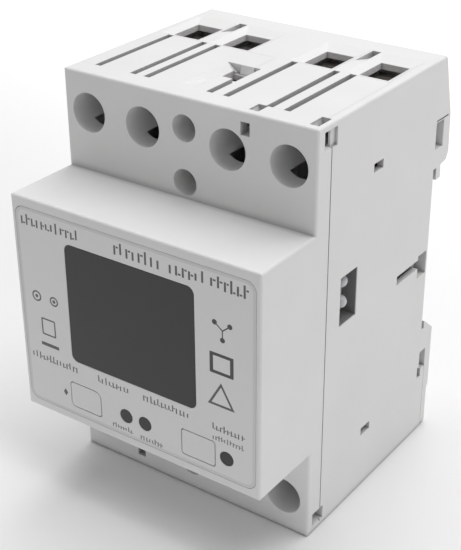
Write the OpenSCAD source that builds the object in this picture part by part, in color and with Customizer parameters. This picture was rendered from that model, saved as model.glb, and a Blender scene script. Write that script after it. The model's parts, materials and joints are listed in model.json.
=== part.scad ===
// Three-phase smart electric meter for a 35 mm rail, three modules wide.
// Millimetres. +X is to the right of the label, +Y is towards the rail, +Z is up.
// The origin is the centre of the bounding box's footprint, on the bottom face.

/* [Body] */
// Width of the body: three 18 mm rail modules
body_w = 54; // [53:0.5:56]
// Height of the body
body_h = 82; // [82:1:84]
// Depth from the label to the back of the rail hook
body_d = 64; // [64:1:66]
// How far the nose stands out in front of the terminal steps
nose_proud = 16; // [14:0.5:17]
// Height of the nose, which fits a 45 mm panel cut-out
nose_h = 44.4; // [44:0.1:44.8]
// Radius of the moulded outer edges
edge_r = 0.5; // [0.4:0.1:0.9]
// Side wall thickness
side_wall = 1.2; // [1.1:0.1:1.3]

/* [Rail] */
// Width of the rail that the body hangs on
rail_w = 35; // [35:1:35]
// Height of the rail's centre line above the bottom face
rail_z = 42.5; // [42:0.5:43]
// Distance from the terminal step's face to the face that meets the rail
seat_depth = 42.2; // [42:0.1:42.4]

/* [Terminals] */
// Screw axis of the outer terminals, from the middle of the body
screw_x_outer = 21.5; // [21.3:0.1:21.6]
// Screw axis of the inner terminals, from the middle of the body
screw_x_inner = 9.15; // [9:0.05:9.3]
// Wire entry of the outer terminals, from the middle of the body
wire_x_outer = 20.8; // [20.7:0.05:20.9]
// Wire entry of the inner terminals, from the middle of the body
wire_x_inner = 9.2; // [9:0.1:9.4]
// Height of the main screws below the top face
screw_drop = 7.5; // [7.4:0.1:7.8]
// Radius of the main screwdriver bores
bore_r = 3.75; // [3.5:0.05:3.75]
// Radius of the auxiliary screwdriver bores
aux_bore_r = 2.5; // [2.3:0.1:2.5]
// Height of the upper and the lower auxiliary screw below the top face
aux_drops = [5.7, 15.8]; // [4:0.1:17]

/* [Label and keys] */
// Width of the label plate
label_w = 52.2; // [51:0.1:52.4]
// Height of the label plate
label_h = 40.7; // [40:0.1:41]
// Width of the display window
window_w = 28.4; // [27:0.1:29]
// Height of the display window
window_h = 24; // [23:0.1:24.4]
// Width and height of a key
key_size = [7.1, 5.1]; // [5:0.1:7.5]
// Radius of the indicator lenses
lens_r = 1.4; // [1.2:0.1:1.5]

/* [Hidden] */
$fn = 64;

shell_colour = [0.88, 0.88, 0.87];
label_colour = [0.74, 0.74, 0.74];
smoke_colour = [0.18, 0.18, 0.18];
board_colour = [0.10, 0.35, 0.20];
steel_colour = [0.72, 0.73, 0.75];
copper_colour = [0.80, 0.50, 0.30];
black_colour = [0.10, 0.10, 0.11];

// Planes along Y, from the label to the back
half_w = body_w / 2;
front_y = -body_d / 2;
back_y = body_d / 2;
step_y = front_y + nose_proud;
plate_t = 2;
label_t = 0.5;
seam_y = step_y + 4.4;
seat_y = step_y + seat_depth;
rear_wall = 1.8;
base_y = back_y - 3.4;
rail_gap = 1.2;
tongue_end_y = step_y + 26;
aux_end_y = step_y + 19.2;

// Levels along Z
mid_z = body_h / 2;
nose_z0 = mid_z - nose_h / 2;
nose_z1 = mid_z + nose_h / 2;
rail_z0 = rail_z - rail_w / 2;
rail_z1 = rail_z + rail_w / 2;
roof_top_t = 1.6;
roof_low_t = 1.2;
roof_t = roof_top_t + roof_low_t;
rear_roof_t = 1.9;
roof_z = body_h - roof_top_t;
inner_x = half_w - side_wall;

// Terminals, numbered from left to right
screw_xs = [-screw_x_outer, -screw_x_inner, screw_x_inner, screw_x_outer];
wire_xs = [-wire_x_outer, -wire_x_inner, wire_x_inner, wire_x_outer];
screw_z = body_h - screw_drop;
tube_wall = 1;
tube_end_y = step_y + 12.1;
tube_floor_z = screw_z - 2.8;
head_r = bore_r + 0.05;
head_y = [tube_end_y + 0.3, tube_end_y + 3.5];
shank_r = 2.1;
thread_gap = 0.05;
bar_y = [step_y + 26, step_y + 28];
bar_half = 2.8;
wire_y = [bar_y[1], bar_y[1] + 8.2];
wire_half = 2.9;
cage_inner = 3.1;
cage_outer = 4.1;
cage_half_h = 4.2;
cage_front_t = 2.5;
cage_back_t = 1.5;
cage_inner_y = [bar_y[0] - 2.5, wire_y[1] + 0.2];

// Auxiliary terminals
aux_tube_end_y = step_y + 5.5;
aux_head_r = aux_bore_r + 0.2;
aux_head_y = [aux_tube_end_y + 0.3, aux_tube_end_y + 2.3];
aux_bar_y = [step_y + 15, step_y + 16];
aux_shank_r = 1.45;
aux_inner = 2.1;
aux_outer = 2.8;
aux_half_h = 2.4;
aux_front_t = 1.8;
aux_inner_y = [aux_bar_y[0] - 3.1, aux_bar_y[1] + 3.1];
aux_zs = [for (d = aux_drops) body_h - d];

// Roof tongues of the front cover, between the grooves, as [left, right]
groove_w = 1.3;
pocket_right = half_w - 1.5;
tongues = [[-22, -15.2], [-10.8, 1.6], [6.4, 14], [18.7, pocket_right - 0.02]];
// Pockets in the rear housing that take the tongues
tongue_pockets = [for (i = [0:3])
    [tongues[i][0] - groove_w, i == 1 ? tongues[i][1] + 0.02 : min(tongues[i][1] + groove_w, pocket_right)]];

// Nose contents
window_x = -0.57;
window_z = mid_z + 3.65;
left_key_at = [-12.05, mid_z - 15.95];
right_key_at = [13.9, mid_z - 16.15];
left_key_radii = [0.5, 1.3, 0.5, 0.9];
right_key_radii = [0.4, 0.5, 0.4, 0.4];
lens_ats = [[-2.4, mid_z - 15.95], [1.95, mid_z - 15.95]];
pulse_at = [20.03, mid_z - 16.05];
key_gap = 0.2;
label_gap = 0.06;
key_flange = 0.55;
board_t = 1.6;
display_board_y = front_y + 10.4;
main_board_y = step_y + 6.4;

// Infrared diodes
ir_r = 1.25;
ir_y = step_y + 11.6;
ir_zs = [mid_z + 4.2, mid_z + 8.4];

// A box between two opposite corners
module box(low, high) {
    translate(low) cube(high - low);
}

// A box that is symmetric about X = x
module box_at(x, half, ys, zs) {
    box([x - half, ys[0], zs[0]], [x + half, ys[1], zs[1]]);
}

// A centred rectangle with round corners
module rounded_rect(w, h, r) {
    square([w - 2 * r, h], center = true);
    square([w, h - 2 * r], center = true);
    for (x = [-1, 1], y = [-1, 1])
        translate([x * (w / 2 - r), y * (h / 2 - r)]) circle(r);
}

// A centred rectangle whose corners have their own radii:
// top left, top right, bottom right, bottom left
module corner_rect(w, h, radii) {
    signs = [[-1, 1], [1, 1], [1, -1], [-1, -1]];
    difference() {
        square([w, h], center = true);
        for (i = [0:3]) {
            r = radii[i];
            s = signs[i];
            translate([s[0] * (w / 2 - r), s[1] * (h / 2 - r)])
                difference() {
                    translate([s[0] > 0 ? 0 : -1.2 * r, s[1] > 0 ? 0 : -1.2 * r]) square(1.2 * r);
                    circle(r);
                }
        }
    }
}

// Extrudes a profile drawn in Y and Z along X
module along_x(x0, x1) {
    translate([x0, 0, 0]) rotate([90, 0, 90]) linear_extrude(x1 - x0) children();
}

// Extrudes a profile drawn in X and Z along Y
module along_y(y0, y1) {
    translate([0, y1, 0]) rotate([90, 0, 0]) linear_extrude(y1 - y0) children();
}

// A round rod along Y
module rod_y(x, z, r, ys) {
    translate([x, ys[1], z]) rotate([90, 0, 0]) cylinder(r = r, h = ys[1] - ys[0]);
}

// A box with every outer edge rounded
module rounded_block(low, high, r) {
    size = high - low;
    centre = (high + low) / 2;
    intersection() {
        translate([centre[0], centre[1], low[2]])
            linear_extrude(size[2]) rounded_rect(size[0], size[1], r);
        along_x(low[0], high[0])
            translate([centre[1], centre[2]]) rounded_rect(size[1], size[2], r);
        along_y(low[1], high[1])
            translate([centre[0], centre[2]]) rounded_rect(size[0], size[2], r);
    }
}

// The bottom row is the top row turned half a turn about Y
module other_end() {
    translate([0, 0, body_h]) rotate([0, 180, 0]) children();
}

module both_ends() {
    children();
    other_end() children();
}

// A shape mirrored onto the left as well
module both_sides() {
    children();
    mirror([1, 0, 0]) children();
}

// ---- Front cover ----

module front_cover_outside() {
    intersection() {
        union() {
            rounded_block([-half_w, front_y, nose_z0], [half_w, step_y + 12, nose_z1], edge_r);
            rounded_block([-half_w, step_y, 0], [half_w, step_y + 12, body_h], edge_r);
        }
        box([-half_w - 1, front_y - 1, -1], [half_w + 1, seam_y, body_h + 1]);
    }
}

module front_cover_cavity() {
    box([-inner_x, front_y + plate_t, nose_z0 + 1.8], [inner_x, seam_y + 1, nose_z1 - 1.8]);
    box([-inner_x, step_y + plate_t, 2], [inner_x, seam_y + 1, body_h - 2]);
}

// The fine shadow line where the cover meets the rear housing
module seam_groove() {
    box([half_w - 0.4, seam_y - 0.25, 1.1], [half_w + 1, seam_y + 1, body_h - 1.1]);
}

// Sleeves that guide a screwdriver to the screws of one end
module screw_sleeves() {
    intersection() {
        union() {
            for (x = screw_xs) rod_y(x, screw_z, bore_r + tube_wall, [step_y + 1, tube_end_y]);
            for (z = aux_zs) rod_y(0, z, aux_bore_r + 0.8, [step_y + 1, aux_tube_end_y]);
        }
        box([-inner_x + 0.1, step_y, mid_z], [inner_x - 0.1, tube_end_y, body_h - roof_t - 0.1]);
    }
}

module screw_bores() {
    for (x = screw_xs) {
        rod_y(x, screw_z, bore_r, [step_y - 1, tube_end_y + 1]);
        box([x - 5, step_y + 4.25, tube_floor_z - 3], [x + 5, tube_end_y + 1, tube_floor_z]);
    }
    for (z = aux_zs) rod_y(0, z, aux_bore_r, [step_y - 1, aux_tube_end_y + 1]);
}

// Flush tongues that reach back over the rear housing's roof
module roof_tongues() {
    intersection() {
        for (t = tongues) box([t[0], seam_y - 1, roof_z + 0.05], [t[1], tongue_end_y, body_h]);
        along_y(step_y, tongue_end_y + 1)
            translate([0, mid_z]) rounded_rect(body_w, body_h, edge_r);
    }
}

// The shallow sloped trough and pocket that lead an auxiliary wire in, cut from one end
module aux_entry() {
    floor_z = roof_z - 0.2;
    right_x = tongues[1][1] + groove_w;
    intersection() {
        along_y(step_y + 4.7, aux_end_y)
            polygon([[-4.3, body_h + 0.02], [-1.7, floor_z], [-1.3, floor_z],
                     [-1.3, body_h + 1], [-4.3, body_h + 1]]);
        along_x(-5, 0)
            polygon([[step_y + 4.7, body_h + 0.02], [aux_end_y, floor_z],
                     [aux_end_y, body_h + 1], [step_y + 4.7, body_h + 1]]);
    }
    along_x(-2.6, right_x)
        polygon([[step_y + 12.2, floor_z], [aux_end_y - 0.7, floor_z], [aux_end_y, body_h],
                 [aux_end_y, body_h + 1], [step_y + 12.2, body_h + 1]]);
    box([-2.6, step_y + 15.4, roof_z - 3], [0.2, aux_end_y - 0.8, body_h]);
}

// The latch window in the step's face, whose upper edge lies a little below the roof
module face_window(drop) {
    box([11.85, step_y - 1, screw_z + 3.3], [13.7, step_y + 2.2, body_h - drop]);
}

// Latch windows: two in the roof and one in the side
module latch_windows() {
    along_y(step_y + 1.5, seam_y + 0.05)
        polygon([[12.5, body_h - 0.3], [13.5, roof_z - 0.5], [14.4, roof_z - 0.5],
                 [14.4, body_h + 1], [12.5, body_h + 1]]);
    along_y(step_y + 1.5, step_y + 5.4)
        polygon([[24.3, body_h - 0.4], [25.1, roof_z - 1.6], [26.1, roof_z - 1.6],
                 [26.1, body_h + 1], [24.3, body_h + 1]]);
    box([half_w - 2.8, step_y + 2, body_h - 4.4], [half_w + 1, seam_y, body_h - 1.1]);
    box([half_w - 0.5, seam_y - 0.1, body_h - 4.4], [half_w + 1, seam_y + 1.5, body_h - 1.1]);
    box([-half_w - 1, step_y + 1.6, body_h - 4.3], [-half_w + 2, seam_y + 0.9, body_h - 1.5]);
}

module left_key_shape(grow) {
    translate(left_key_at)
        corner_rect(key_size[0] + 2 * grow, key_size[1] + 2 * grow,
                    [for (r = left_key_radii) r + grow]);
}

module right_key_shape(grow) {
    translate(right_key_at)
        corner_rect(key_size[0] + 2 * grow, key_size[1] + 2 * grow,
                    [for (r = right_key_radii) r + grow]);
}

module window_shape(grow, r) {
    translate([window_x, window_z])
        rounded_rect(window_w + 2 * grow, window_h + 2 * grow, r + grow);
}

// Round holes for the three indicator lenses
module lens_holes(r, ys) {
    for (p = concat(lens_ats, [pulse_at])) rod_y(p[0], p[1], r, ys);
}

module front_cover() {
    floor_y = front_y + label_t;
    color(shell_colour) difference() {
        union() {
            difference() {
                front_cover_outside();
                front_cover_cavity();
                both_sides() seam_groove();
            }
            both_ends() screw_sleeves();
            both_ends() roof_tongues();
            // Posts that carry the display board
            for (x = [-23, 23], z = [nose_z0 + 4, nose_z1 - 4])
                rod_y(x, z, 1.6, [front_y + plate_t - 0.5, display_board_y]);
        }
        both_ends() screw_bores();
        both_ends() aux_entry();
        both_ends() latch_windows();
        face_window(1.8);
        other_end() face_window(2.3);
        // Shallow bed for the label plate and the window
        along_y(front_y - 1, floor_y)
            translate([0, mid_z]) rounded_rect(label_w + 2 * label_gap, label_h + 2 * label_gap, 2);
        along_y(front_y, front_y + plate_t + 1) window_shape(-1, 1.4);
        along_y(front_y, front_y + plate_t + 1) left_key_shape(key_gap);
        along_y(front_y, front_y + plate_t + 1) right_key_shape(key_gap);
        lens_holes(lens_r + label_gap, [front_y, front_y + plate_t + 1]);
    }
}

// ---- Label, window, keys and lenses ----

module label_plate() {
    color(label_colour) difference() {
        along_y(front_y, front_y + label_t)
            translate([0, mid_z]) rounded_rect(label_w, label_h, 2);
        along_y(front_y - 1, front_y + 1) window_shape(label_gap, 1.4);
        along_y(front_y - 1, front_y + 1) left_key_shape(key_gap);
        along_y(front_y - 1, front_y + 1) right_key_shape(key_gap);
        lens_holes(lens_r + label_gap, [front_y - 1, front_y + 1]);
    }
}

module display_window() {
    color(smoke_colour) {
        along_y(front_y, front_y + label_t) window_shape(0, 1.4);
        along_y(front_y + label_t, front_y + plate_t) window_shape(-1.1, 1.4);
    }
}

// A key is a cap, a flange behind the front plate and a stem to its switch
module key_stem(at) {
    rod_y(at[0], at[1], 1.6, [front_y + 2.8, front_y + 7.8]);
}

module left_key() {
    color(label_colour) {
        along_y(front_y, front_y + 2.2) left_key_shape(0);
        along_y(front_y + 2.1, front_y + 2.9) left_key_shape(key_flange);
        key_stem(left_key_at);
    }
}

module right_key() {
    color(label_colour) {
        along_y(front_y, front_y + 2.2) right_key_shape(0);
        along_y(front_y + 2.1, front_y + 2.9) right_key_shape(key_flange);
        key_stem(right_key_at);
    }
}

module key_switches() {
    color(black_colour) for (at = [left_key_at, right_key_at]) difference() {
        box([at[0] - 3, front_y + 7.4, at[1] - 3], [at[0] + 3, display_board_y, at[1] + 3]);
        rod_y(at[0], at[1], 1.9, [front_y + 7, front_y + 8.6]);
    }
}

// A light guide with a flange behind the front plate
module light_guide(at) {
    rod_y(at[0], at[1], lens_r, [front_y, display_board_y - 1.2]);
    rod_y(at[0], at[1], lens_r + 0.3, [front_y + plate_t, front_y + plate_t + 0.8]);
}

module status_lenses() {
    color(smoke_colour) for (at = lens_ats) light_guide(at);
}

module pulse_lens() {
    color(smoke_colour) light_guide(pulse_at);
}

module led_emitters() {
    color([0.9, 0.9, 0.7]) for (p = concat(lens_ats, [pulse_at]))
        box([p[0] - 0.8, display_board_y - 0.9, p[1] - 0.5],
            [p[0] + 0.8, display_board_y, p[1] + 0.5]);
}

// ---- Display stack ----

module lcd_block(w, h, ys) {
    box_at(window_x, w / 2, ys, [window_z - h / 2, window_z + h / 2]);
}

module lcd_panel() {
    color([0.55, 0.60, 0.52]) lcd_block(29.4, 25, [front_y + 2.6, front_y + 4.8]);
}

module lcd_backlight() {
    color([0.95, 0.95, 0.92]) lcd_block(28, 21, [front_y + 4.8, front_y + 8.2]);
}

module lcd_contacts() {
    color(black_colour) for (side = [-1, 1])
        box_at(window_x, 14, [front_y + 4.8, display_board_y],
               [window_z + side * 11.6 - 0.8, window_z + side * 11.6 + 0.8]);
}

module lcd_frame() {
    color([0.93, 0.93, 0.93]) difference() {
        lcd_block(32.4, 28, [front_y + 2.1, display_board_y]);
        lcd_block(29.8, 25.4, [front_y + 2, display_board_y + 1]);
    }
}

module display_board() {
    color(board_colour) box([-24.8, display_board_y, nose_z0 + 2.2],
                            [24.8, display_board_y + board_t, nose_z1 - 2.2]);
}

// ---- Measuring electronics ----

module main_board() {
    color(board_colour) box([-24.4, main_board_y, mid_z - 21], [24.4, main_board_y + board_t, mid_z + 21]);
}

module board_link() {
    color(black_colour) box_at(0, 6, [display_board_y + board_t, main_board_y], [mid_z - 2, mid_z + 2]);
}

module radio_board() {
    color(board_colour) box([-21.6, display_board_y + 2.4, mid_z - 14],
                            [-20.4, main_board_y, mid_z + 12]);
}

module radio_antenna() {
    color(copper_colour) {
        translate([-21, main_board_y - 5, mid_z + 12]) cylinder(r = 0.5, h = 6);
        translate([-21, main_board_y - 5, mid_z + 17.5]) rotate([0, 90, 0]) cylinder(r = 0.5, h = 22);
    }
}

// A small infrared diode that looks out through the right side
module infrared_diode(z) {
    tip_x = half_w - 0.4;
    translate([half_w - 7, ir_y, z]) rotate([0, 90, 0]) cylinder(r = ir_r, h = tip_x - ir_r - half_w + 7);
    translate([tip_x - ir_r, ir_y, z]) sphere(ir_r);
    translate([half_w - 7.6, ir_y, z]) rotate([0, 90, 0]) cylinder(r = ir_r + 0.3, h = 0.9);
    box([half_w - 9, main_board_y + board_t, z - 0.3], [half_w - 7.6, ir_y + 0.4, z + 0.3]);
}

module ir_emitter() {
    color([0.85, 0.85, 0.88]) infrared_diode(ir_zs[0]);
}

module ir_receiver() {
    color([0.70, 0.70, 0.72]) infrared_diode(ir_zs[1]);
}

module main_chips() {
    color(black_colour) {
        box_at(-4, 5, [main_board_y - 1.4, main_board_y], [mid_z + 5, mid_z + 15]);
        box_at(10, 3.5, [main_board_y - 1.4, main_board_y], [mid_z + 6, mid_z + 13]);
        box_at(8, 4, [main_board_y - 1.8, main_board_y], [mid_z - 14, mid_z - 8]);
    }
}

module supply_capacitors() {
    color(black_colour) for (x = [-6, 4])
        rod_y(x, mid_z - 15, 4, [main_board_y + board_t, step_y + 22]);
}

module surge_absorbers() {
    color([0.15, 0.30, 0.60]) for (x = [-16, -4, 8]) {
        rod_y(x, mid_z + 15.5, 4, [main_board_y + 3.6, main_board_y + 7]);
        for (side = [-2.5, 2.5])
            rod_y(x + side, mid_z + 15.5, 0.4, [main_board_y + board_t, main_board_y + 3.8]);
    }
}

module supply_transformer() {
    color([0.75, 0.70, 0.30]) {
        box([-8, main_board_y + board_t, mid_z - 5], [6, step_y + 20, mid_z + 8]);
        box([-6.5, main_board_y + 3, mid_z - 6.5], [4.5, step_y + 18.5, mid_z + 9.5]);
    }
}

// ---- Current path ----

module current_bar(x) {
    color(copper_colour) box_at(x, bar_half, bar_y, [roof_t + 0.8, body_h - roof_t - 0.8]);
}

module phase_bar_1() { current_bar(wire_xs[0]); }
module phase_bar_2() { current_bar(wire_xs[1]); }
module phase_bar_3() { current_bar(wire_xs[2]); }
module neutral_bar() { current_bar(wire_xs[3]); }

module current_sensor(x) {
    color([0.12, 0.12, 0.30]) difference() {
        box_at(x, 4.5, [bar_y[0] - 4, bar_y[1] + 4], [mid_z - 5, mid_z + 5]);
        box_at(x, bar_half + 0.1, [bar_y[0] - 0.1, bar_y[1] + 0.1], [mid_z - 6, mid_z + 6]);
    }
}

module current_sensor_1() { current_sensor(wire_xs[0]); }
module current_sensor_2() { current_sensor(wire_xs[1]); }
module current_sensor_3() { current_sensor(wire_xs[2]); }

module aux_contacts() {
    color(copper_colour) both_ends() for (z = aux_zs)
        box_at(0, 1.8, aux_bar_y, [z - 2.9, z + 2.6]);
}

// ---- Clamps ----

// A captive screw: a head with a cross slot and a shank that pulls its cage
module clamp_screw(x, z, r_head, ys_head, r_shank, tip_y) {
    slot = r_head * 0.28;
    color(steel_colour) difference() {
        union() {
            rod_y(x, z, r_head, ys_head);
            rod_y(x, z, r_shank, [ys_head[1] - 0.1, tip_y]);
        }
        box_at(x, slot / 2, [ys_head[0] - 1, ys_head[0] + 1.3], [z - r_head * 0.8, z + r_head * 0.8]);
        box_at(x, r_head * 0.8, [ys_head[0] - 1, ys_head[0] + 1.3], [z - slot / 2, z + slot / 2]);
    }
}

// A clamp cage: a box open at the top and bottom, with the thread in its front wall
module clamp_cage(x, z, x_screw, inner, outer, half_h, ys_inner, front_t, back_t, r_hole) {
    color(steel_colour) difference() {
        box_at(x, outer, [ys_inner[0] - front_t, ys_inner[1] + back_t], [z - half_h, z + half_h]);
        box_at(x, inner, ys_inner, [z - half_h - 1, z + half_h + 1]);
        rod_y(x_screw, z, r_hole, [ys_inner[0] - front_t - 1, ys_inner[0] + 1]);
    }
}

module main_screw(i) {
    clamp_screw(screw_xs[i], screw_z, head_r, head_y, shank_r, bar_y[0] - 0.3);
}

module main_cage(i) {
    clamp_cage(wire_xs[i], screw_z, screw_xs[i], cage_inner, cage_outer, cage_half_h,
               cage_inner_y, cage_front_t, cage_back_t, shank_r + thread_gap);
}

module aux_screw(i) {
    clamp_screw(0, aux_zs[i], aux_head_r, aux_head_y, aux_shank_r, aux_bar_y[0] - 0.3);
}

module aux_cage(i) {
    clamp_cage(0, aux_zs[i], 0, aux_inner, aux_outer, aux_half_h,
               aux_inner_y, aux_front_t, 1, aux_shank_r + thread_gap);
}

// ---- Rear housing ----

module rear_profile() {
    polygon([
        [seam_y, 0], [base_y, 0], [base_y, rail_z0 - 9.8], [seat_y, rail_z0 - 9.8],
        [seat_y, rail_z1 + 0.2], [seat_y + rail_gap, rail_z1 + 0.2], [seat_y + rail_gap, rail_z1 - 2.3],
        [seat_y + 3, rail_z1 - 2.3], [seat_y + 2.8, rail_z1 + 0.4], [seat_y + 5, rail_z1 + 0.7],
        [back_y, rail_z1 + 2.2], [back_y - 0.3, body_h - 12], [base_y, body_h],
        [seam_y, body_h]
    ]);
}

module rear_cavity() {
    inside_y = seat_y - rear_wall;
    foot_y = base_y - rear_wall;
    foot_z = rail_z0 - 9.8 - rear_wall;
    thin_y = tongue_end_y + 0.6;
    along_x(-inner_x, inner_x) polygon([
        [seam_y - 1, roof_t], [thin_y, roof_t], [thin_y, rear_roof_t], [foot_y, rear_roof_t],
        [foot_y, foot_z], [inside_y, foot_z], [inside_y, body_h - rear_roof_t],
        [thin_y, body_h - rear_roof_t], [thin_y, body_h - roof_t], [seam_y - 1, body_h - roof_t]
    ]);
}

// A wire hole in the roof with its sloped lead-in
module wire_entry(x) {
    rim_z = body_h - 0.7;
    box_at(x, wire_half, wire_y, [body_h - roof_t - 1, body_h + 1]);
    intersection() {
        along_y(wire_y[0] - 3, wire_y[1] + 5) translate([x, 0]) polygon([
            [-wire_half, rim_z], [wire_half, rim_z],
            [wire_half + 2, body_h + 0.1], [-wire_half - 2, body_h + 0.1]
        ]);
        along_x(x - 6, x + 6) polygon([
            [wire_y[0], rim_z], [wire_y[1], rim_z],
            [wire_y[1] + 3.9, body_h + 0.1], [wire_y[0] - 1.7, body_h + 0.1]
        ]);
    }
}

// The walls between the terminals and the shelf that holds the bars, at one end
module terminal_walls() {
    z0 = body_h - 18;
    z1 = body_h - rear_roof_t + 0.2;
    back = seat_y - rear_wall + 0.2;
    for (x = [-14.9, 14.9]) box_at(x, 0.5, [tube_end_y + 0.4, back], [z0, z1]);
    for (x = [-4.3, 4.3]) box_at(x, 0.4, [tube_end_y + 0.4, back], [z0, z1]);
    difference() {
        box([-inner_x - 0.2, bar_y[0] - 2, z0], [inner_x + 0.2, back, z0 + 1.2]);
        for (x = wire_xs) box_at(x, bar_half + 0.1, [bar_y[0] - 0.1, bar_y[1] + 0.1], [z0 - 1, z0 + 3]);
    }
}

// Slots and windows in the right-hand side wall
module side_slots() {
    deep = half_w - 2.4;
    // Small latch windows
    box([deep, step_y + 18.8, mid_z + 26.9], [half_w + 1, step_y + 22.1, mid_z + 28.6]);
    box([deep, step_y + 18.8, mid_z - 28.6], [half_w + 1, step_y + 22.1, mid_z - 26.9]);
    // Stepped slot that stops just short of the rail recess
    box([deep, step_y + 30, mid_z - 0.4], [half_w + 1, step_y + 39, mid_z + 1.5]);
    box([deep, step_y + 38.4, mid_z - 2.6], [half_w + 1, seat_y - 0.45, mid_z + 2.3]);
    // Hollow behind the hook and the fine line above it
    box([half_w - 12, seat_y, rail_z1 + 4.2], [half_w + 1, seat_y + 3, rail_z1 + 9.6]);
    box([half_w - 0.3, seat_y, rail_z1 + 9.8], [half_w + 1, back_y - 1.1, rail_z1 + 10.1]);
    // Notch under the clip's gap
    box([deep, seat_y - 0.6, rail_z0 - 11.5], [half_w + 1, seat_y + 0.8, rail_z0 - 9]);
}

module rear_housing() {
    color(shell_colour) difference() {
        union() {
            difference() {
                intersection() {
                    along_x(-half_w, half_w) rear_profile();
                    along_y(seam_y, back_y)
                        translate([0, mid_z]) rounded_rect(body_w, body_h, edge_r);
                }
                rear_cavity();
            }
            both_ends() terminal_walls();
            // Ribs behind the main board
            both_sides() for (zs = [[mid_z - 19, mid_z - 2], [mid_z + 13, mid_z + 19]])
                box([inner_x - 2, main_board_y + board_t, zs[0]],
                    [inner_x + 0.2, main_board_y + board_t + 1.4, zs[1]]);
            // Block around the clip spring's pocket
            box([-3.8, seat_y - 2.6, rear_roof_t - 0.2], [3.8, back_y - 4, rail_z0 - 9.8]);
            // Block that closes the infrared window's pocket
            box([half_w - 4.4, main_board_y + board_t + 0.05, mid_z - 0.3],
                [inner_x + 0.2, step_y + 15.5, mid_z + 11.5]);
        }
        both_ends() for (p = tongue_pockets)
            box([p[0], seam_y - 1, roof_z], [p[1], tongue_end_y + 0.02, body_h + 1]);
        // The groove beside the second tongue, which ends at the auxiliary pocket
        both_ends() box([tongues[1][1], seam_y - 1, roof_z],
                        [tongues[1][1] + groove_w, aux_end_y, body_h + 1]);
        both_ends() aux_entry();
        both_ends() latch_windows();
        // Way from the corner window into the dark inside of the case
        both_ends() box([half_w - 3.6, seam_y - 0.1, body_h - 4.2], [half_w - 0.9, seam_y + 6, body_h - 2.4]);
        both_ends() for (x = wire_xs) wire_entry(x);
        // Sloped notches between the wire entries
        both_ends() for (x = [-15.05, 15.05])
            along_x(x - 0.85, x + 0.85) polygon([
                [step_y + 33, body_h], [step_y + 39.6, body_h - 1.4],
                [step_y + 39.6, body_h + 1], [step_y + 33, body_h + 1]
            ]);
        both_sides() side_slots();
        // Infrared window in the right side, with a hole for each diode in its floor
        box([half_w - 3, step_y + 8.8, mid_z + 0.7], [half_w + 1, step_y + 14.5, mid_z + 10.5]);
        for (z = ir_zs)
            translate([half_w - 5, ir_y, z]) rotate([0, 90, 0]) cylinder(r = ir_r + 0.06, h = 3);
        // Pocket of the clip spring and slots for the clip's guides
        box([-2.6, seat_y - 1.2, 3], [2.6, back_y, rail_z0 - 9]);
        for (x = [-14, 14])
            box([x - 1.8, seat_y, 3.6], [x + 1.8, back_y, 11.4]);
    }
}

// ---- Rail clip ----

module rail_clip() {
    clip_front = back_y - 3.1;
    lip_y = seat_y + rail_gap;
    color(shell_colour) difference() {
        union() {
            along_x(-half_w + 0.1, half_w - 0.1) polygon([
                [clip_front, 0.5], [clip_front + 1.8, 0.5], [clip_front + 1.8, 8.6],
                [clip_front + 2.3, 9.6], [clip_front + 2.3, rail_z0 - 1.7],
                [lip_y + 0.3, rail_z0 + 1.2], [lip_y, rail_z0 + 1.4],
                [lip_y, rail_z0 - 0.2], [seat_y + 0.2, rail_z0 - 0.2],
                [seat_y + 0.2, rail_z0 - 5.6], [clip_front, rail_z0 - 5.6]
            ]);
            // Peg that presses the spring
            box([-1.2, seat_y, 14.8], [1.2, clip_front + 0.2, rail_z0 - 5.4]);
            // Guides with heads behind the housing's rear wall
            for (x = [-14, 14]) {
                box([x - 1.5, seat_y + 0.2, 8], [x + 1.5, clip_front + 0.2, 11]);
                box([x - 2.6, seat_y - 1.1, 8], [x + 2.6, seat_y + 0.3, 11]);
            }
        }
        // Slot for the tool that pulls the clip down
        box([-3, clip_front - 1, 3], [3, back_y, 5.6]);
    }
}

// Points round a circle that stands across the coil at one angle
function coil_ring(angle, r, wire_r, z, sides) = [
    for (i = [0:sides - 1])
        let (a = 360 * i / sides, d = r + wire_r * cos(a))
            [d * cos(angle), d * sin(angle), z + wire_r * sin(a)]
];

module coil(r, wire_r, z0, z1, turns, steps, sides) {
    count = turns * steps;
    points = [for (k = [0:count])
        each coil_ring(360 * k / steps, r, wire_r, z0 + (z1 - z0) * k / count, sides)];
    sides_faces = [for (k = [0:count - 1], i = [0:sides - 1])
        [k * sides + i, k * sides + (i + 1) % sides,
         (k + 1) * sides + (i + 1) % sides, (k + 1) * sides + i]];
    first = [for (i = [sides - 1:-1:0]) i];
    last = [for (i = [0:sides - 1]) count * sides + i];
    polyhedron(points, concat([first], sides_faces, [last]), convexity = 10);
}

module clip_spring() {
    color(steel_colour) translate([0, seat_y + 0.7, 0]) coil(1.5, 0.25, 3.3, 14.5, 7, 16, 8);
}

// ---- Nodes ----

front_cover();
rear_housing();
label_plate();
display_window();
left_key();
right_key();
key_switches();
status_lenses();
pulse_lens();
led_emitters();
lcd_panel();
lcd_frame();
lcd_backlight();
lcd_contacts();
display_board();
main_board();
board_link();
radio_board();
radio_antenna();
ir_emitter();
ir_receiver();
phase_bar_1();
phase_bar_2();
phase_bar_3();
neutral_bar();
aux_contacts();
current_sensor_1();
current_sensor_2();
current_sensor_3();
supply_capacitors();
surge_absorbers();
supply_transformer();
main_chips();
main_screw(0);  // top_screw_1
main_screw(1);  // top_screw_2
main_screw(2);  // top_screw_3
main_screw(3);  // top_screw_4
other_end() main_screw(3);  // bottom_screw_1
other_end() main_screw(2);  // bottom_screw_2
other_end() main_screw(1);  // bottom_screw_3
other_end() main_screw(0);  // bottom_screw_4
main_cage(0);  // top_cage_1
main_cage(1);  // top_cage_2
main_cage(2);  // top_cage_3
main_cage(3);  // top_cage_4
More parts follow.
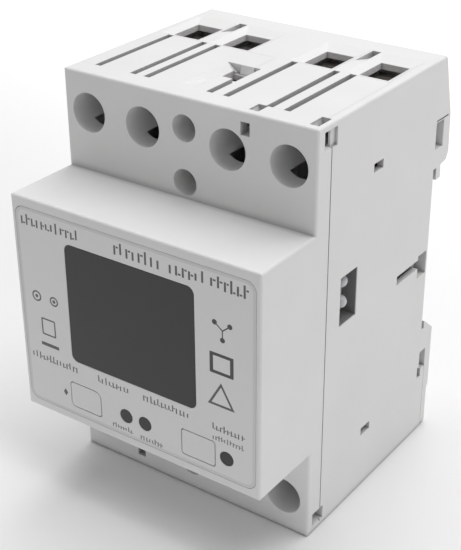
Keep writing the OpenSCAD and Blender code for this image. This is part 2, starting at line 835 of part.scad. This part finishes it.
other_end() main_cage(3);  // bottom_cage_1
other_end() main_cage(2);  // bottom_cage_2
other_end() main_cage(1);  // bottom_cage_3
other_end() main_cage(0);  // bottom_cage_4
aux_screw(0);  // aux_screw_1
aux_screw(1);  // aux_screw_2
other_end() aux_screw(1);  // aux_screw_3
other_end() aux_screw(0);  // aux_screw_4
aux_cage(0);  // aux_cage_1
aux_cage(1);  // aux_cage_2
other_end() aux_cage(1);  // aux_cage_3
other_end() aux_cage(0);  // aux_cage_4
rail_clip();
clip_spring();
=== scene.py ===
"""Looks of a three-phase rail-mounted electric meter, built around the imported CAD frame."""
import json
import math
import random

import bmesh
import bpy
from mathutils import Matrix, Vector


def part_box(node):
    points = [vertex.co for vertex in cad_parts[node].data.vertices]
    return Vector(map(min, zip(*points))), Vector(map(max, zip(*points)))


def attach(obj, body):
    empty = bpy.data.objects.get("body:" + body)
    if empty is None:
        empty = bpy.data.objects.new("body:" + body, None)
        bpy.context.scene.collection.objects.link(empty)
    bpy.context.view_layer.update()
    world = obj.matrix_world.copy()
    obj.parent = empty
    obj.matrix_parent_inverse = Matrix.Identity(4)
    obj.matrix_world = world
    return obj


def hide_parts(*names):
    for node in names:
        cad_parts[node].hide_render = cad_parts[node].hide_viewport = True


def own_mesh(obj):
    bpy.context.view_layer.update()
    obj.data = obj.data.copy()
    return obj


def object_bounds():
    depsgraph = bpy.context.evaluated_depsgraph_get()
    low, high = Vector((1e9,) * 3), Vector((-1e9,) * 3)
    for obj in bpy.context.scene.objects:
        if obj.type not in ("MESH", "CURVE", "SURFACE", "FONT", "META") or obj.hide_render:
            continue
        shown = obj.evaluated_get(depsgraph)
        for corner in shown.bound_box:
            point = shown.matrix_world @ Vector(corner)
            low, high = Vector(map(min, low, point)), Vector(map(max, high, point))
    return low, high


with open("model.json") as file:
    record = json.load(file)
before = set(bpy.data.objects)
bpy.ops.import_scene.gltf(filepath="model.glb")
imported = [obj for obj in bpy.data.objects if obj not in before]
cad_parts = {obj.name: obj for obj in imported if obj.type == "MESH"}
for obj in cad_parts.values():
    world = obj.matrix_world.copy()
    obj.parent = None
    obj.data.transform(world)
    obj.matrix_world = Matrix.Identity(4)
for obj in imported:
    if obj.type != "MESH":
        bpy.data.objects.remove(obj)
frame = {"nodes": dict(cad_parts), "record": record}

cad_low, cad_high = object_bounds()
MM = 0.001
nodes = frame["nodes"]

# ---------------------------------------------------------------- materials


class Tree:
    """Small helper that adds and wires shader nodes."""

    def __init__(self, name):
        self.mat = bpy.data.materials.new(name)
        self.mat.use_nodes = True
        self.nt = self.mat.node_tree
        self.bsdf = self.nt.nodes["Principled BSDF"]

    def add(self, kind, **settings):
        n = self.nt.nodes.new(kind)
        for key, value in settings.items():
            setattr(n, key, value)
        return n

    def link(self, a, b):
        self.nt.links.new(a, b)

    def coords(self):
        return self.add("ShaderNodeTexCoord").outputs["Object"]

    def noise(self, scale, detail=3.0, vector=None):
        n = self.add("ShaderNodeTexNoise")
        n.inputs["Scale"].default_value = scale
        n.inputs["Detail"].default_value = detail
        self.link(vector or self.coords(), n.inputs["Vector"])
        return n.outputs["Fac"]

    def ramp(self, fac, stops):
        r = self.add("ShaderNodeValToRGB")
        while len(r.color_ramp.elements) < len(stops):
            r.color_ramp.elements.new(0.5)
        for e, (pos, col) in zip(r.color_ramp.elements, stops):
            e.position = pos
            e.color = (*col, 1.0)
        self.link(fac, r.inputs["Fac"])
        return r.outputs["Color"]

    def range(self, fac, lo, hi):
        m = self.add("ShaderNodeMapRange")
        m.inputs["To Min"].default_value = lo
        m.inputs["To Max"].default_value = hi
        self.link(fac, m.inputs["Value"])
        return m.outputs["Result"]

    def bump(self, height, strength, distance, normal=None):
        b = self.add("ShaderNodeBump")
        b.inputs["Strength"].default_value = strength
        b.inputs["Distance"].default_value = distance
        self.link(height, b.inputs["Height"])
        if normal is not None:
            self.link(normal, b.inputs["Normal"])
        return b.outputs["Normal"]

    def corners(self, tone, amount, reach=0.0022):
        """Painted shade: darkens the colour in narrow gaps and inside corners."""
        ao = self.add("ShaderNodeAmbientOcclusion")
        ao.samples = 8
        ao.inputs["Distance"].default_value = reach
        mix = self.add("ShaderNodeMix", data_type="RGBA", blend_type="MULTIPLY")
        mix.inputs[0].default_value = 1.0
        self.link(tone, mix.inputs[6])
        shadow = self.ramp(ao.outputs["AO"], [(0.25, (1 - amount,) * 3), (0.85, (1.0, 1.0, 1.0))])
        self.link(shadow, mix.inputs[7])
        return mix.outputs[2]

    def bevel(self, radius):
        b = self.add("ShaderNodeBevel")
        b.samples = 6
        b.inputs["Radius"].default_value = radius
        return b.outputs["Normal"]

    def to(self, socket, out):
        self.link(out, self.bsdf.inputs[socket])


def shade(colour, amount):
    return tuple(max(0.0, min(1.0, c * amount)) for c in colour)


def plastic(name, colour, rough, grain=5040.0, depth=0.00002, vary=0.02, bevel=0.0002,
            spread=0.06, painted_shade=0.0):
    """Moulded plastic: fine grain, a slow drift in tone, softened edges and painted shade in the
    corners.
    """
    t = Tree(name)
    tone = t.ramp(t.noise(60.0, 4.0),
                  [(0.3, shade(colour, 1 - vary)), (0.7, shade(colour, 1 + vary))])
    # Painted shade: the colour is darkened in gaps and corners when a shade amount is given
    t.to("Base Color", t.corners(tone, painted_shade) if painted_shade else tone)
    t.to("Roughness", t.range(t.noise(180.0, 2.0), rough - spread, rough + spread))
    normal = t.bevel(bevel) if bevel else None
    t.to("Normal", t.bump(t.noise(grain, 2.0), 0.18, depth, normal))
    return t.mat


def metal(name, colour, rough, stretch=(1.0, 1.0, 1.0), metallic=1.0):
    """Plated or drawn metal with fine directional scratches and a blotchy passivation."""
    t = Tree(name)
    t.bsdf.inputs["Metallic"].default_value = metallic
    m = t.add("ShaderNodeMapping")
    m.inputs["Scale"].default_value = stretch
    t.link(t.coords(), m.inputs["Vector"])
    scratches = t.noise(900.0, vector=m.outputs["Vector"])
    t.to("Base Color", t.ramp(t.noise(220.0), [(0.3, shade(colour, 0.86)), (0.7, shade(colour, 1.08))]))
    t.to("Roughness", t.range(scratches, rough - 0.1, rough + 0.12))
    t.to("Normal", t.bump(scratches, 0.25, 0.00001, t.bevel(0.00008)))
    return t.mat


GREY = (0.80, 0.80, 0.795)
LABEL_GREY = (0.79, 0.79, 0.79)
MATS = {
    # The shell gets painted shade in its narrow gaps and inside corners
    "shell": plastic("shell_plastic", GREY, 0.52, painted_shade=0.5, bevel=0.00014),
    "label": plastic("label_film", LABEL_GREY, 0.46, grain=7200.0, depth=0.00001, vary=0.008,
                     bevel=0.0001),
    "smoke_window": plastic("smoke_acrylic", (0.030, 0.030, 0.031), 0.4, depth=0.000004, vary=0.03,
                            bevel=0.0001, spread=0.03),
    "lcd_glass": plastic("lcd_glass", (0.22, 0.25, 0.21), 0.2, depth=0.000002, bevel=0.0001),
    "white_plastic": plastic("white_plastic", (0.80, 0.80, 0.78), 0.5),
    "black_plastic": plastic("black_plastic", (0.022, 0.022, 0.024), 0.5),
    "clear_resin": plastic("clear_resin", (0.62, 0.62, 0.66), 0.18, depth=0.000002),
    "circuit_board": plastic("circuit_board", (0.015, 0.09, 0.04), 0.32),
    "copper": metal("copper_alloy", (0.72, 0.42, 0.27), 0.34),
    "blue_plastic": plastic("blue_plastic", (0.03, 0.05, 0.19), 0.45),
    "yellow_tape": plastic("yellow_tape", (0.62, 0.45, 0.06), 0.4),
    "steel": metal("zinc_steel", (0.66, 0.65, 0.63), 0.36, stretch=(6.0, 1.0, 1.0), metallic=0.6),
    "spring_steel": metal("spring_steel", (0.5, 0.5, 0.52), 0.28, stretch=(1.0, 1.0, 8.0)),
}
SLOTS = {s["node"]: s["material_slot"] for s in frame["record"]["subparts"]}
for name, obj in nodes.items():
    obj.data.materials.clear()
    obj.data.materials.append(MATS[SLOTS[name]])

PRINT = plastic("label_ink", (0.075, 0.075, 0.077), 0.5, depth=0.000004, vary=0.05, bevel=0)
PRINT_SOFT = plastic("label_ink_fine", (0.13, 0.13, 0.13), 0.5, depth=0.000004, vary=0.05, bevel=0)
LINE = plastic("label_border", (0.69, 0.69, 0.69), 0.5, depth=0.000004, vary=0.02, bevel=0)
# Painted shade: dark grey sheets that stand in for the shade deep in the infrared window
WINDOW_SHADE = plastic("window_painted_shade", (0.19, 0.19, 0.19), 0.55, depth=0.000006, bevel=0.0001)

# ---------------------------------------------------------------- mesh helpers


def new_object(name, bm, mat, body="meter"):
    mesh = bpy.data.meshes.new(name)
    bm.to_mesh(mesh)
    bm.free()
    obj = bpy.data.objects.new(name, mesh)
    bpy.context.scene.collection.objects.link(obj)
    mesh.materials.append(mat)
    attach(obj, body)
    return obj


def plate(bm, outline, y_front, thick, holes=()):
    """A thin solid whose outline is given in X and Z (mm), facing -Y, with optional holes."""
    geo = []
    for loop in (outline, *holes):
        vs = [bm.verts.new((x * MM, y_front * MM, z * MM)) for x, z in loop]
        geo += [bm.edges.new((vs[i], vs[(i + 1) % len(vs)])) for i in range(len(vs))]
    if holes:
        faces = bmesh.ops.triangle_fill(bm, use_beauty=True, use_dissolve=False, edges=geo)["geom"]
        faces = [f for f in faces if isinstance(f, bmesh.types.BMFace)]
    else:
        faces = [bm.faces.new([e.verts[0] for e in geo])]
    bmesh.ops.recalc_face_normals(bm, faces=faces)
    for f in faces:
        if f.normal.y > 0:
            f.normal_flip()
    out = bmesh.ops.extrude_face_region(bm, geom=faces)["geom"]
    moved = [v for v in out if isinstance(v, bmesh.types.BMVert)]
    bmesh.ops.translate(bm, verts=moved, vec=(0, -thick * MM, 0))
    for f in faces:
        f.normal_flip()


def on_circle(cx, cz, r, degrees):
    angle = math.radians(degrees)
    return cx + r * math.cos(angle), cz + r * math.sin(angle)


def round_rect(cx, cz, w, h, r, seg=8):
    """Outline of a rectangle with round corners."""
    pts = []
    for sx, sz, start in ((-1, 1, 90), (1, 1, 0), (1, -1, 270), (-1, -1, 180)):
        ox = cx + sx * (w / 2 - r)
        oz = cz + sz * (h / 2 - r)
        pts += [on_circle(ox, oz, r, start + 90 * k / seg) for k in range(seg, -1, -1)]
    return pts[::-1]


def disc(cx, cz, r, seg=40):
    return [on_circle(cx, cz, r, 360 * k / seg) for k in range(seg)]


# ---------------------------------------------------------------- label print

LABEL_Y = cad_low[1] / MM
MID_Z = (cad_low[2] + cad_high[2]) / 2 / MM
INK_T = 0.012
DOT_T = 0.016
BORDER_T = 0.006


def ring(bm, outer, inner, proud=INK_T):
    plate(bm, outer, LABEL_Y, proud, holes=(inner,))


def bar(bm, x0, x1, z0, z1):
    plate(bm, [(x0, z0), (x1, z0), (x1, z1), (x0, z1)], LABEL_Y, INK_T)


def greeked(bm, x0, x1, z0, z1, seed, breaks=()):
    """A row of fine uneven strokes and ticks that reads as print from afar and spells nothing."""
    rng = random.Random(seed)
    h = z1 - z0
    stroke = 0.17 * h
    x = x0
    while x < x1 - 2 * stroke:
        if any(low <= x <= high for low, high in breaks):
            x += stroke
            continue
        foot = z0 + h * rng.choice((0.0, 0.0, 0.12))
        head = z0 + h * rng.choice((1.0, 0.74, 0.74, 0.66))
        bar(bm, x, x + stroke, foot, head)
        gap = stroke * rng.uniform(1.0, 1.5)
        # A short tick stands free beside most strokes, high, low or halfway
        if rng.random() < 0.7:
            tick = z0 + h * rng.choice((0.08, 0.34, 0.56))
            bar(bm, x + 1.35 * stroke, x + 1.3 * stroke + gap, tick, tick + 0.8 * stroke)
        x += stroke * 2 + gap


def strip(bm, a, b, width):
    """A straight stroke of the given width between two points."""
    dx, dz = b[0] - a[0], b[1] - a[1]
    length = math.hypot(dx, dz)
    nx, nz = -dz / length * width / 2, dx / length * width / 2
    outline = [(a[0] - nx, a[1] - nz), (b[0] - nx, b[1] - nz),
               (b[0] + nx, b[1] + nz), (a[0] + nx, a[1] + nz)]
    plate(bm, outline, LABEL_Y, INK_T)


# Faint border ring, a little darker than the label
line = bmesh.new()
ring(line, round_rect(0, MID_Z, 52.1, 40.6, 1.95), round_rect(0, MID_Z, 51.0, 39.5, 1.5), BORDER_T)
new_object("label_lines", line, LINE)

# Square outline, and a three-branch star with a dot at the end of each branch
SQUARE_AT = (19.15, 43.75)
STAR_AT = (19.4, 50.4)
STAR_TIPS = ((17.8, 51.65), (20.9, 51.65), (19.4, 48.6))
BRANCH_W = 0.22
BRANCH_DOT_R = 0.5
ink = bmesh.new()
ring(ink, round_rect(*SQUARE_AT, 4.9, 4.1, 0.12, 2), round_rect(*SQUARE_AT, 3.5, 2.9, 0.1, 2))
for tip in STAR_TIPS:
    strip(ink, STAR_AT, tip, BRANCH_W)
    plate(ink, disc(*tip, BRANCH_DOT_R, 20), LABEL_Y, DOT_T)
new_object("label_symbols", ink, PRINT)

# Plain triangle outline
TRIANGLE_OUT = [(16.2, 35.25), (21.8, 35.25), (19.0, 40.1)]
TRIANGLE_IN = [(16.95, 35.7), (21.05, 35.7), (19.0, 39.25)]
soft_ink = bmesh.new()
ring(soft_ink, TRIANGLE_OUT, TRIANGLE_IN)
new_object("label_triangle", soft_ink, PRINT_SOFT)

# Rows of strokes in place of lettering: left, right, foot, head, seed
ROWS = (
    (-24.8, -12.8, 30.1, 31.6, 5),
    (-8.7, -1.0, 30.1, 31.6, 6),
    (1.8, 12.7, 30.1, 31.6, 7),
    (-5.75, -0.9, 21.6, 22.7, 8),
    (0.8, 5.9, 21.3, 22.5, 9),
    (17.1, 24.0, 30.1, 31.5, 10),
    (17.1, 24.0, 28.0, 29.1, 11),
    (-24.8, -10.4, 57.9, 60.0, 12),
)
# Neutral marks on the left: two rings with a dot, a rounded square over a bar, and a diamond
RINGS = ((-22.55, 1.1), (-18.35, 1.0))
RING_Z = 43.75
RING_W = 0.3
RING_DOT_R = 0.35
BOX_AT = (-20.2, 37.7)
DIAMOND = [(-17.6, 24.8), (-17.1, 24.0), (-16.6, 24.8), (-17.1, 25.6)]
small = bmesh.new()
greeked(small, -3.3, 24.5, 57.9, 60.3, 3, breaks=((7.3, 8.5), (15.6, 16.8)))
for row in ROWS:
    greeked(small, *row)
for x, r in RINGS:
    ring(small, disc(x, RING_Z, r, 24), disc(x, RING_Z, r - RING_W, 24))
    plate(small, disc(x, RING_Z, RING_DOT_R, 16), LABEL_Y, INK_T)
ring(small, round_rect(*BOX_AT, 3.4, 3.6, 0.3, 3), round_rect(*BOX_AT, 2.8, 3.0, 0.15, 3))
bar(small, -22.3, -18.0, 33.5, 34.2)
plate(small, DIAMOND, LABEL_Y, INK_T)
new_object("label_print", small, PRINT_SOFT)

# ---------------------------------------------------------------- infrared window

# Inner faces of the window's side walls, measured from the right side, the step and the middle
STEP_Y = LABEL_Y + 16
SIDE_X = cad_high[0] / MM
WINDOW_X = (SIDE_X - 2.98, SIDE_X - 0.15)
WINDOW_Y = (STEP_Y + 8.82, STEP_Y + 14.48)
WINDOW_Z = (MID_Z + 0.72, MID_Z + 10.48)
WINDOW_SHADE_T = 0.1
BOX_FACES = ((0, 1, 3, 2), (4, 6, 7, 5), (0, 4, 5, 1), (2, 3, 7, 6), (0, 2, 6, 4), (1, 5, 7, 3))


def wall(bm, xs, ys, zs):
    """A thin wall panel between two places along each axis, in mm."""
    corners = [bm.verts.new((x * MM, y * MM, z * MM)) for x in xs for y in ys for z in zs]
    for quad in BOX_FACES:
        bm.faces.new([corners[i] for i in quad])
    bmesh.ops.recalc_face_normals(bm, faces=bm.faces)


def window_painted_shade():
    """Dark sheets of painted shade on the four side walls of the window in the right side."""
    y0, y1 = WINDOW_Y
    z0, z1 = WINDOW_Z
    between = (y0 + WINDOW_SHADE_T, y1 - WINDOW_SHADE_T)
    bm = bmesh.new()
    wall(bm, WINDOW_X, (y0, y0 + WINDOW_SHADE_T), WINDOW_Z)
    wall(bm, WINDOW_X, (y1 - WINDOW_SHADE_T, y1), WINDOW_Z)
    wall(bm, WINDOW_X, between, (z0, z0 + WINDOW_SHADE_T))
    wall(bm, WINDOW_X, between, (z1 - WINDOW_SHADE_T, z1))
    new_object("infrared_window_painted_shade", bm, WINDOW_SHADE)


window_painted_shade()

# ---------------------------------------------------------------- clamp screws

HEAD_RIM = 0.25
RECESS_T = 1.3
THREAD_DEPTH = 0.28
TIP_CHAMFER = 0.3
TIP_LENGTH = 0.6


def skin(bm, rings):
    """Faces between neighbouring rings of points, with a flat cap at each end."""
    for a, b in zip(rings, rings[1:]):
        for k in range(len(a)):
            n = (k + 1) % len(a)
            bm.faces.new((a[k], b[k], b[n], a[n]))
    bm.faces.new(rings[0])
    bm.faces.new(rings[-1][::-1])
    bmesh.ops.recalc_face_normals(bm, faces=bm.faces)


def cross(cx, cz, arm, half):
    """Outline of a cross recess."""
    quarter = [(half, arm), (half, half), (arm, half)]
    pts = []
    for turn in range(4):
        c, s = round(math.cos(math.pi / 2 * turn)), round(math.sin(math.pi / 2 * turn))
        pts += [(cx + x * c + z * s, cz + z * c - x * s) for x, z in quarter]
    return pts


def threaded_shank(bm, cx, cz, r_crest, y0, y1, pitch, sides=28, rows_per_turn=6):
    """A shank along Y whose skin rises and falls as a helix, with a chamfered tip."""
    rows = int((y1 - y0) / pitch * rows_per_turn)
    rings = []
    for row in range(rows + 1):
        y = y0 + (y1 - y0) * row / rows
        tip = max(0.0, 1 - (y1 - y) / TIP_LENGTH)
        turn = []
        for k in range(sides):
            phase = ((y - y0) / pitch - k / sides) % 1.0
            r = r_crest - THREAD_DEPTH * (1 - abs(2 * phase - 1)) - TIP_CHAMFER * tip
            x, z = on_circle(cx, cz, r, 360 * k / sides)
            turn.append(bm.verts.new((x * MM, y * MM, z * MM)))
        rings.append(turn)
    skin(bm, rings)


def clamp_screw(node, head_t, shank_r, pitch):
    """A cross-recess screw with a rolled thread, in place of the plain CAD screw."""
    low, high = (Vector(v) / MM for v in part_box(node))
    cx, cz = (low.x + high.x) / 2, (low.z + high.z) / 2
    r = (high.x - low.x) / 2
    bm = bmesh.new()
    recess = cross(cx, cz, 0.74 * r, 0.13 * r)
    plate(bm, disc(cx, cz, r - HEAD_RIM, 48), low.y + HEAD_RIM, HEAD_RIM, holes=(recess,))
    plate(bm, disc(cx, cz, r, 48), low.y + RECESS_T, RECESS_T - HEAD_RIM, holes=(recess,))
    plate(bm, disc(cx, cz, r, 48), low.y + head_t, head_t - RECESS_T)
    threaded_shank(bm, cx, cz, shank_r, low.y + head_t, high.y, pitch)
    piece = new_object(node + "_screw", bm, MATS["steel"], body=node)
    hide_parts(node)


for end in ("top", "bottom"):
    for i in range(1, 5):
        clamp_screw(f"{end}_screw_{i}", head_t=3.2, shank_r=2.1, pitch=0.8)
for i in range(1, 5):
    clamp_screw(f"aux_screw_{i}", head_t=2.0, shank_r=1.45, pitch=0.5)

# ---------------------------------------------------------------- spring of the rail clip


WIRE_R = 0.25 * MM
COIL_TURNS = 7


def spring_coil(node, steps=28, sides=10):
    """A round-wire coil in place of the CAD spring."""
    low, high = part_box(node)
    cx, cy = (low.x + high.x) / 2, (low.y + high.y) / 2
    coil_r = (high.x - low.x) / 2 - WIRE_R
    z0, z1 = low.z + WIRE_R, high.z - WIRE_R
    bm = bmesh.new()
    rings = []
    for k in range(COIL_TURNS * steps + 1):
        z = z0 + (z1 - z0) * k / (COIL_TURNS * steps)
        section = []
        for i in range(sides):
            out, up = on_circle(0, 0, WIRE_R, 360 * i / sides)
            section.append(bm.verts.new((*on_circle(cx, cy, coil_r + out, 360 * k / steps), z + up)))
        rings.append(section)
    skin(bm, rings)
    for f in bm.faces:
        f.smooth = len(f.verts) == 4
    piece = new_object("clip_spring_coil", bm, MATS["spring_steel"])
    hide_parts(node)
    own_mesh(piece)


spring_coil("clip_spring")

# ---------------------------------------------------------------- floor, light and camera

FLOOR_HALF = 3.0
floor_bm = bmesh.new()
bmesh.ops.create_grid(floor_bm, x_segments=2, y_segments=2, size=FLOOR_HALF)
floor_mesh = bpy.data.meshes.new("floor")
floor_bm.to_mesh(floor_mesh)
floor_bm.free()
floor = bpy.data.objects.new("floor", floor_mesh)
bpy.context.scene.collection.objects.link(floor)
ft = Tree("floor_paper")
ft.to("Base Color", ft.ramp(ft.noise(3.0), [(0.3, (0.86, 0.86, 0.86)), (0.7, (0.88, 0.88, 0.88))]))
ft.bsdf.inputs["Roughness"].default_value = 0.9
split = ft.add("ShaderNodeSeparateXYZ")
ft.link(ft.coords(), split.inputs["Vector"])


def fade(y_from, y_to, low, high):
    """A smooth change in strength between two places along Y on the floor."""
    r = ft.add("ShaderNodeMapRange", interpolation_type="SMOOTHSTEP")
    r.inputs["From Min"].default_value = y_from
    r.inputs["From Max"].default_value = y_to
    r.inputs["To Min"].default_value = low
    r.inputs["To Max"].default_value = high
    ft.link(split.outputs["Y"], r.inputs["Value"])
    return r.outputs["Result"]


def combine(operation, a, b):
    m = ft.add("ShaderNodeMath", operation=operation)
    ft.link(a, m.inputs[0])
    ft.link(b, m.inputs[1])
    return m.outputs["Value"]


# Painted light: the paper glows softly far behind the meter, and in a narrow band just in front of it
far_glow = fade(0.02, 0.30, 0.0, 0.30)
near_glow = combine("MULTIPLY", fade(-0.036, -0.021, 0.17, 0.0), fade(-0.08, -0.05, 0.0, 1.0))
ft.bsdf.inputs["Emission Color"].default_value = (1, 1, 1, 1)
ft.to("Emission Strength", combine("ADD", far_glow, near_glow))
ft.bsdf.inputs["Specular IOR Level"].default_value = 0.1
floor_mesh.materials.append(ft.mat)

ROOM_LIGHT = 0.324
AIM = (0, 0, 0.04)
scene = bpy.context.scene
scene.view_settings.view_transform = "Standard"
world = bpy.data.worlds.new("studio")
scene.world = world
world.use_nodes = True
bg = world.node_tree.nodes["Background"]
bg.inputs["Color"].default_value = (1, 1, 1, 1)
bg.inputs["Strength"].default_value = ROOM_LIGHT


def softbox(name, place, side, power):
    """A square soft light that points at the meter."""
    data = bpy.data.lights.new(name, "AREA")
    data.shape = "RECTANGLE"
    data.size = data.size_y = side
    data.energy = power
    obj = bpy.data.objects.new(name, data)
    scene.collection.objects.link(obj)
    obj.location = place
    obj.rotation_euler = (Vector(AIM) - Vector(place)).to_track_quat("-Z", "Y").to_euler()


softbox("top_light", (0.05, 0.25, 0.85), side=0.9, power=7.4)
softbox("right_light", (0.85, -0.05, 0.35), side=0.7, power=0.34)

# Camera at the viewing angle: where it stands, and its right and up directions
CAMERA_AT = (0.124064, -0.175717, 0.155928)
RIGHT = Vector((0.81478, 0.57975, -0.00596))
UP = Vector((-0.2692, 0.38739, 0.88174))
cam_data = bpy.data.cameras.new("camera")
cam_data.sensor_width = 36.0
cam_data.lens = 82.63
cam_data.clip_start = 0.01
cam = bpy.data.objects.new("camera", cam_data)
scene.collection.objects.link(cam)
turned = Matrix((RIGHT, UP, RIGHT.cross(UP))).transposed().to_4x4()
cam.matrix_world = Matrix.Translation(CAMERA_AT) @ turned
scene.camera = cam
